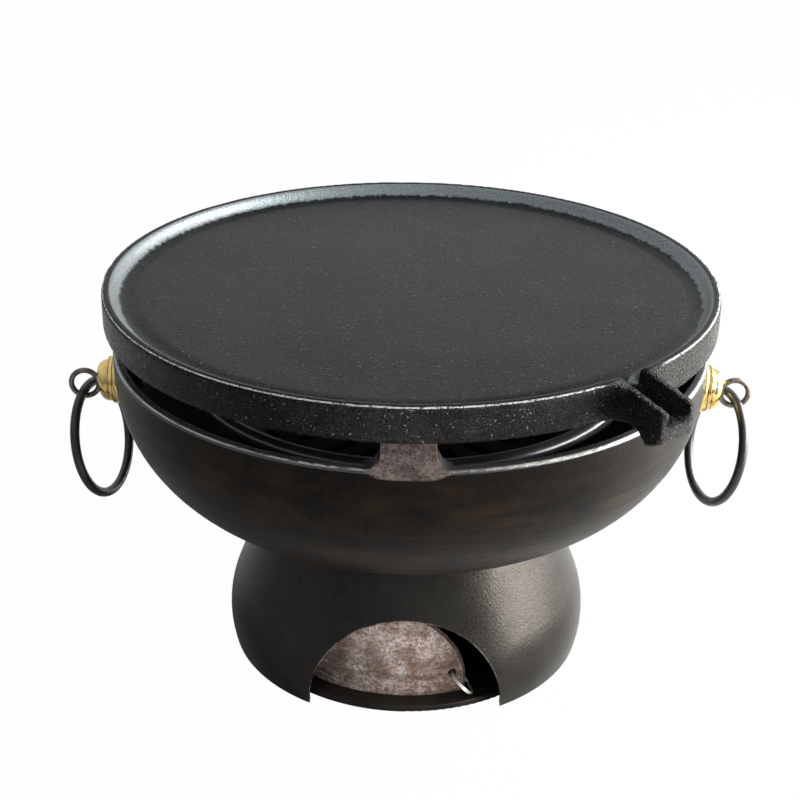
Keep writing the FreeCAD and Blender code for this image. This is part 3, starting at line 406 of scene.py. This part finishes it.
bowl_iron, tree, place = start_material("bowl_iron")
up = use_group(tree, round_place, Vector=place)["Height"]
grain = use_group(tree, cast_grain, Vector=place, Grain=0.0011, Patch=0.035)
turned = use_group(tree, turned_rings, Vector=place, Spacing=0.0013)
raw = use_group(tree, ground_faces, Vector=place)["Face"]
brown = times(tree, grain["Patches"], turned["Smear"])
colour = mix(tree, brown, rgb(0.0028, 0.0023, 0.0020), rgb(0.034, 0.0185, 0.0092))
colour = mix(tree, times(tree, grain["Grit"], 0.55), colour, rgb(0.0140, 0.0114, 0.0092))
# Painted glints on the grains.
colour = mix(tree, times(tree, grain["Speck"], 0.25), colour, rgb(0.07, 0.06, 0.05))

# The rim's painted sheen and the painted highlight along its edge.
rim = fade(tree, up, rim_start, rim_full)
edge = times(tree, fade(tree, faces_edge(tree, place), 0.965, 0.990), rim)
highlight_breaks = fade(tree, noise(tree, place, 60.0, 3.0, 0.6), 0.28, 0.56)
colour = mix(tree, rim, colour, rgb(0.095, 0.102, 0.110))
colour = mix(tree, times(tree, edge, highlight_breaks), colour, rgb(0.46, 0.44, 0.39))

# The ground faces of the lugs.
mottle = fade(tree, noise(tree, place, 210.0, 4.0, 0.7), 0.35, 0.65)
bare = mix(tree, mottle, rgb(0.110, 0.082, 0.075), rgb(0.27, 0.215, 0.200))
scratch_place = vector_calc(tree, "MULTIPLY", place, (700.0, 700.0, 900.0))[0]
scratches = fade(tree, noise(tree, scratch_place, 1.0, 2.0, 0.6), 0.50, 0.68)
bare = mix(tree, scratches, bare, rgb(0.07, 0.050, 0.045))
colour = mix(tree, raw, colour, bare)

roughness = fade(tree, turned["Rings"], 0.3, 0.7, 0.39, 0.49)
roughness = calc(tree, "SUBTRACT", roughness, times(tree, rim, 0.16))
roughness = calc(tree, "ADD", roughness, times(tree, raw, 0.18))
height = calc(tree, "ADD", times(tree, grain["Height"], 0.9), times(tree, turned["Rings"], 0.4))
end_material(tree, colour, roughness, height, 0.40, 0.0004, 0.0006,
             **{"Metallic": 0.6, "Specular IOR Level": 0.2})
finish(bowl_iron, "bowl")

# %% [markdown]
# ## The pedestal
# Cast in a finer sand and only half glossy, with a warmer grey where light falls on it and a few
# painted glints. The thin broken bright line along the cut edge of the arch is a painted highlight:
# the arch is a half circle in the XZ plane, so that line is where the distance from the circle's
# centre is the arch's radius, on the front.

# %% Material: pedestal iron
arch_radius, arch_foot, arch_front = 0.0520, 0.005, -0.0600

pedestal_iron, tree, place = start_material("pedestal_iron")
grain = use_group(tree, cast_grain, Vector=place, Grain=0.0008, Patch=0.04)
colour = mix(tree, grain["Patches"], rgb(0.018, 0.0165, 0.0150), rgb(0.034, 0.0315, 0.0285))
# Painted glints on the grains.
colour = mix(tree, times(tree, grain["Speck"], 0.35), colour, rgb(0.13, 0.12, 0.11))
colour = mix(tree, times(tree, grain["Grit"], 0.6), colour, rgb(0.058, 0.053, 0.048))
# A thin painted highlight along the arch's cut edge, in broken pieces.
split = node(tree, "ShaderNodeSeparateXYZ", {"Vector": place}).outputs
above = calc(tree, "MAXIMUM", calc(tree, "SUBTRACT", split["Z"], arch_foot), 0.0)
reach = calc(tree, "SQRT", calc(tree, "ADD", calc(tree, "POWER", split["X"], 2.0),
                                calc(tree, "POWER", above, 2.0)))
arch_highlight = times(tree, fade(tree, reach, arch_radius + 0.0006, arch_radius + 0.0002),
                  fade(tree, split["Y"], arch_front, arch_front - 0.0010))
highlight_breaks = fade(tree, noise(tree, place, 130.0, 4.0, 0.6), 0.4, 0.6)
colour = mix(tree, times(tree, arch_highlight, highlight_breaks), colour, rgb(0.30, 0.28, 0.25))
roughness = fade(tree, grain["Height"], 0.1, 0.6, 0.30, 0.40)
end_material(tree, colour, roughness, grain["Height"], 0.38, 0.0004, 0.0006,
             **{"Metallic": 0.8, "Specular IOR Level": 0.2})
finish(pedestal_iron, "pedestal")

# %% [markdown]
# ## Black iron inside
# The basin has a thick rolled rim that fire never touches, smooth and half glossy; its pale bluish
# grey is a painted sheen. Below it the soot covers everything. The grate is dull and near black,
# partly from soot and partly as painted shade. The plate under the pedestal is the same iron without
# the fire.

# %% Materials: black iron, sooty iron and foot iron
soot_edge, soot_waver = 0.003, 0.002


def black_casting(name, low, high, rough_low, rough_high, bump, piece, clean_from=None):
    """Dark iron. Below the height clean_from, where one is given, it is covered with soot."""
    material, tree, place = start_material(name)
    grain = use_group(tree, cast_grain, Vector=place, Grain=0.0013, Patch=0.03)
    colour = mix(tree, grain["Patches"], low, high)
    roughness = fade(tree, grain["Height"], 0.1, 0.6, rough_low, rough_high)
    if clean_from:
        up = use_group(tree, round_place, Vector=place)["Height"]
        wavering = calc(tree, "ADD", up, times(tree, grain["Patches"], soot_waver))
        soot = fade(tree, wavering, clean_from, clean_from - soot_edge)
        colour = mix(tree, soot, colour, rgb(0.012, 0.0115, 0.011))
        roughness = calc(tree, "ADD", roughness, times(tree, soot, 0.25))
    end_material(tree, colour, roughness, grain["Height"], bump, 0.0005,
                 **{"Metallic": 0.8, "Specular IOR Level": 0.1})
    finish(material, piece)


# The basin rim's pale bluish grey is a painted sheen.
black_casting("black_iron", rgb(0.120, 0.127, 0.136), rgb(0.160, 0.168, 0.178), 0.28, 0.38, 0.06,
              "fire_basin", clean_from=0.1630)
# The grate's near black is partly soot and partly painted shade.
black_casting("soot_and_shade_iron", rgb(0.003, 0.003, 0.003), rgb(0.006, 0.006, 0.005), 0.7, 0.85, 0.3,
              "charcoal_grate")
black_casting("foot_iron", rgb(0.030, 0.027, 0.025), rgb(0.048, 0.044, 0.040), 0.45, 0.6, 0.3,
              "bottom_plate")

# %% [markdown]
# ## Bare iron of the air door
# The door was never oiled: the skin of the casting is pinkish grey with brown rust in patches and
# in small speckles, darker streaks low down along the way it slides, and a few bright scratches.

# %% Material: bare iron
bare_iron, tree, place = start_material("bare_iron")
grain = use_group(tree, cast_grain, Vector=place, Grain=0.0016, Patch=0.012)
up = use_group(tree, round_place, Vector=place)["Height"]
colour = mix(tree, grain["Patches"], rgb(0.36, 0.255, 0.215), rgb(0.76, 0.650, 0.610))
rust = fade(tree, noise(tree, place, 70.0, 5.0, 0.7), 0.48, 0.62)
colour = mix(tree, times(tree, rust, 0.65), colour, rgb(0.22, 0.115, 0.072))
speckles = fade(tree, noise(tree, place, 560.0, 2.0, 0.6), 0.46, 0.60)
colour = mix(tree, times(tree, speckles, 0.60), colour, rgb(0.15, 0.088, 0.068))
along = vector_calc(tree, "MULTIPLY", place, (45.0, 45.0, 210.0))[0]
streaks = fade(tree, noise(tree, along, 1.0, 5.0, 0.7), 0.42, 0.60)
low_down = fade(tree, up, 0.040, 0.020)
colour = mix(tree, times(tree, streaks, times(tree, low_down, 0.6)), colour,
             rgb(0.085, 0.060, 0.048))
slanted = node(tree, "ShaderNodeMapping", {"Vector": place, "Rotation": (0.0, 0.5, 0.0),
                                           "Scale": (40.0, 40.0, 900.0)}).outputs[0]
scratches = fade(tree, noise(tree, slanted, 1.0, 1.0, 0.5), 0.70, 0.76)
colour = mix(tree, times(tree, scratches, 0.6), colour, rgb(0.55, 0.50, 0.47))
colour = mix(tree, times(tree, grain["Speck"], 0.35), colour, rgb(0.5, 0.45, 0.42))
roughness = fade(tree, grain["Height"], 0.1, 0.6, 0.5, 0.68)
end_material(tree, colour, roughness, grain["Height"], 0.5, 0.0005,
             **{"Metallic": 0.15, "Specular IOR Level": 0.3})
finish(bare_iron, "air_door")

# %% [markdown]
# ## Polished brass
# The bosses are turned from brass and polished, with fine rings from the tool and a film of
# darker tarnish. The colour is darker in the two steps between the flange, the ring and the bell.
# Both bosses lie along the X axis, so the steps are at a distance from the grill's middle plane.

# %% Material: brass
boss_steps, step_reach = (0.16354, 0.16604), 0.00055

brass, tree, place = start_material("brass")
film = fade(tree, noise(tree, place, 160.0, 3.0, 0.6), 0.4, 0.65)
colour = mix(tree, film, rgb(0.88, 0.68, 0.28), rgb(0.72, 0.51, 0.19))
ring_place = vector_calc(tree, "MULTIPLY", place, (2600.0, 30.0, 30.0))[0]
tool_rings = noise(tree, ring_place, 1.0, 1.0, 0.5)
colour = mix(tree, fade(tree, tool_rings, 0.55, 0.70, 0.0, 0.5), colour, rgb(0.45, 0.29, 0.09))
split = node(tree, "ShaderNodeSeparateXYZ", {"Vector": place}).outputs
outward = calc(tree, "ABSOLUTE", split["X"])
# Darker colour in the two steps.
for step in boss_steps:
    from_step = calc(tree, "ABSOLUTE", calc(tree, "SUBTRACT", outward, step))
    step_darkening = fade(tree, from_step, step_reach, step_reach - 0.0004)
    colour = mix(tree, times(tree, step_darkening, 0.8), colour, rgb(0.16, 0.085, 0.025))
roughness = fade(tree, noise(tree, place, 500.0, 2.0, 0.6), 0.3, 0.7, 0.13, 0.22)
end_material(tree, colour, roughness, tool_rings, 0.05, 0.0001, 0.0005, Metallic=1.0)
finish(brass, "left_boss", "right_boss")

# %% [markdown]
# ## Iron wire and steel
# The eye bolts are forged iron, the handle rings black enamelled wire, the small fasteners plain
# zinc-grey steel and the door's ring bright spring steel. All four are one recipe: two colours in
# patches, and a quicker noise of the same kind for the sheen and the bumps.

# %% Materials: wires and fasteners
def plain_metal(name, low, high, rough_low, rough_high, metallic, scale):
    material, tree, place = start_material(name)
    patches = fade(tree, noise(tree, place, scale, 4.0, 0.65), 0.35, 0.65)
    sheen = noise(tree, place, scale * 4.0, 3.0, 0.6)
    bumps = noise(tree, place, scale * 5.0, 3.0, 0.6)
    end_material(tree, mix(tree, patches, low, high),
                 fade(tree, sheen, 0.3, 0.7, rough_low, rough_high), bumps, 0.3, 0.0003,
                 Metallic=metallic)
    return material


eye_iron = plain_metal("eye_iron", rgb(0.12, 0.095, 0.085), rgb(0.26, 0.22, 0.2),
                       0.3, 0.5, 0.8, 300.0)
ring_black = plain_metal("ring_black", rgb(0.012, 0.012, 0.013), rgb(0.022, 0.022, 0.024),
                         0.28, 0.4, 0.0, 200.0)
steel = plain_metal("steel", rgb(0.32, 0.32, 0.31), rgb(0.46, 0.46, 0.45), 0.3, 0.45, 1.0, 250.0)
bright_steel = plain_metal("bright_steel", rgb(0.74, 0.72, 0.68), rgb(0.90, 0.89, 0.86),
                           0.28, 0.42, 1.0, 400.0)
finish(eye_iron, "left_eye_bolt", "right_eye_bolt")
finish(ring_black, "left_handle_ring", "right_handle_ring")
finish(steel, "bottom_plate_screws", "pivot_screw", "pivot_washer", "pivot_nut", "neck_bolts",
       "neck_washers", "neck_nuts", "left_washer", "right_washer", "left_nut", "right_nut")

# %% [markdown]
# ## The split ring of the air door
# The solid is a plain ring. The real one is a split ring: two turns of thin spring wire side by
# side, with a short step where the wire crosses over. A small circle is spun almost once round an
# axis, then on a little with a rise of one wire, then almost once again. The coil is laid where
# the solid is and tipped by the same three angles, and first turned in its own plane so that the
# crossover is at the back.

# %% Split ring
ring_mean, wire = 0.0083, 0.00050    # radius of the ring's middle line, radius of the wire
ring_yaw, ring_pitch, ring_roll, crossover_turn = (math.radians(angle) for angle in
                                                   (-88.383, -10.4, 134.2, -120))
long_turn, long_steps = 5.8, 70
cross_turn, cross_steps = 0.45, 8

ring_low, ring_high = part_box("door_pull_ring")
ring_middle = (Vector(ring_low) + Vector(ring_high)) / 2.0
ring_tip = (Matrix.Rotation(ring_yaw, 4, "Z") @ Matrix.Rotation(ring_pitch, 4, "Y")
            @ Matrix.Rotation(ring_roll, 4, "X") @ Matrix.Rotation(crossover_turn, 4, "Z"))
builder = bmesh.new()
bmesh.ops.create_circle(builder, segments=12, radius=wire,
                        matrix=Matrix.Translation((ring_mean, 0.0, -wire))
                        @ Matrix.Rotation(math.pi / 2, 4, "X"))
section = builder.verts[:] + builder.edges[:]
for angle, rise, steps in ((long_turn, 0.0, long_steps), (cross_turn, 2.0 * wire, cross_steps),
                           (long_turn, 0.0, long_steps)):
    spun = bmesh.ops.spin(builder, geom=section, cent=(0.0, 0.0, 0.0), axis=(0.0, 0.0, 1.0),
                          dvec=(0.0, 0.0, rise / steps), angle=angle, steps=steps,
                          use_merge=False, use_duplicate=False)
    section = spun["geom_last"]
bmesh.ops.holes_fill(builder, edges=[edge for edge in builder.edges if edge.is_boundary], sides=0)
bmesh.ops.recalc_face_normals(builder, faces=builder.faces)
bmesh.ops.transform(builder, verts=builder.verts, matrix=Matrix.Translation(ring_middle) @ ring_tip)
split_mesh = bpy.data.meshes.new("split_ring")
builder.to_mesh(split_mesh)
builder.free()
for face in split_mesh.polygons:
    face.use_smooth = len(face.vertices) == 4
split_mesh.materials.append(bright_steel)
split_ring = bpy.data.objects.new("split_ring", split_mesh)
bpy.context.collection.objects.link(split_ring)
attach(split_ring, "pull_ring")
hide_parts("door_pull_ring")
print("split ring", len(split_mesh.polygons), "faces")

# %% [markdown]
# ## Floor, world and lamps
# A pale floor fades into a white backdrop. Through Light Path they are plain white for the camera,
# and the backdrop behind the grill is white in reflections too, while the room in front of it is
# dimmer there, as a studio is. So black iron stays black. The room's own soft light grows from the
# floor up. A long window stands at the right, from the floor up, and a small one high above it.

# %% Floor
floor_radius, floor_drop = 6.0, 0.0005

floor_mesh = bpy.data.meshes.new("floor")
builder = bmesh.new()
bmesh.ops.create_circle(builder, cap_ends=True, segments=96, radius=floor_radius)
bmesh.ops.translate(builder, verts=builder.verts, vec=(0.0, 0.0, -floor_drop))
builder.to_mesh(floor_mesh)
builder.free()
floor = bpy.data.objects.new("floor", floor_mesh)
bpy.context.collection.objects.link(floor)
floor_white = bpy.data.materials.new("floor_white")
floor_white.use_nodes = True
tree = floor_white.node_tree
tree.nodes.clear()
matt = node(tree, "ShaderNodeBsdfDiffuse", {"Color": rgb(0.45, 0.45, 0.445)}).outputs[0]
glow = node(tree, "ShaderNodeEmission", {"Color": rgb(1.0, 1.0, 1.0), "Strength": 1.0}).outputs[0]
path = node(tree, "ShaderNodeLightPath").outputs
seen = times(tree, path["Is Camera Ray"], 0.98)
blend = node(tree, "ShaderNodeMixShader", {0: seen, 1: matt, 2: glow}).outputs[0]
node(tree, "ShaderNodeOutputMaterial", {"Surface": blend})
floor_mesh.materials.append(floor_white)
print("floor ready")

# %% World
world = bpy.data.worlds.new("studio")
bpy.context.scene.world = world
world.use_nodes = True
tree = world.node_tree
tree.nodes.clear()
path = node(tree, "ShaderNodeLightPath").outputs
way = node(tree, "ShaderNodeTexCoord").outputs["Generated"]
way = node(tree, "ShaderNodeSeparateXYZ", {"Vector": way}).outputs
soft = node(tree, "ShaderNodeBackground", {"Color": rgb(0.95, 0.98, 1.0),
                                           "Strength": fade(tree, way["Z"], -0.2, 0.9, 0.22, 0.72)})
white = node(tree, "ShaderNodeBackground", {"Color": rgb(1.0, 1.0, 1.0), "Strength": 1.0})
behind = times(tree, fade(tree, way["Y"], -0.1, 0.6, -0.5, 1.0),
               fade(tree, way["X"], -0.35, 0.25, 0.60, 1.0))
mirrored = calc(tree, "MAXIMUM", path["Is Glossy Ray"], path["Is Transmission Ray"])
seen = calc(tree, "MAXIMUM", path["Is Camera Ray"], times(tree, mirrored, behind))
blend = node(tree, "ShaderNodeMixShader", {0: seen, 1: soft.outputs[0], 2: white.outputs[0]})
node(tree, "ShaderNodeOutputWorld", {"Surface": blend.outputs[0]})
print("world ready")


# %% Lamps
def window(name, place, target, width, height, power, colour):
    """A soft lamp the shape of a window, aimed at a point."""
    light = bpy.data.lights.new(name, "AREA")
    light.shape, light.size, light.size_y = "RECTANGLE", width, height
    light.energy, light.color = power, colour
    lamp = bpy.data.objects.new(name, light)
    bpy.context.collection.objects.link(lamp)
    lamp.location = place
    lamp.rotation_euler = (Vector(target) - Vector(place)).to_track_quat("-Z", "Y").to_euler()
    print(name, power, "W")


window("window_right", (1.20, 0.14, 0.42), (0.0, 0.0, 0.12), 1.8, 0.8, 86.0, (1.0, 0.97, 0.92))
window("window_high", (0.95, 0.15, 1.0), (0.0, 0.0, 0.2), 0.5, 0.4, 12.0, (0.92, 0.98, 1.0))
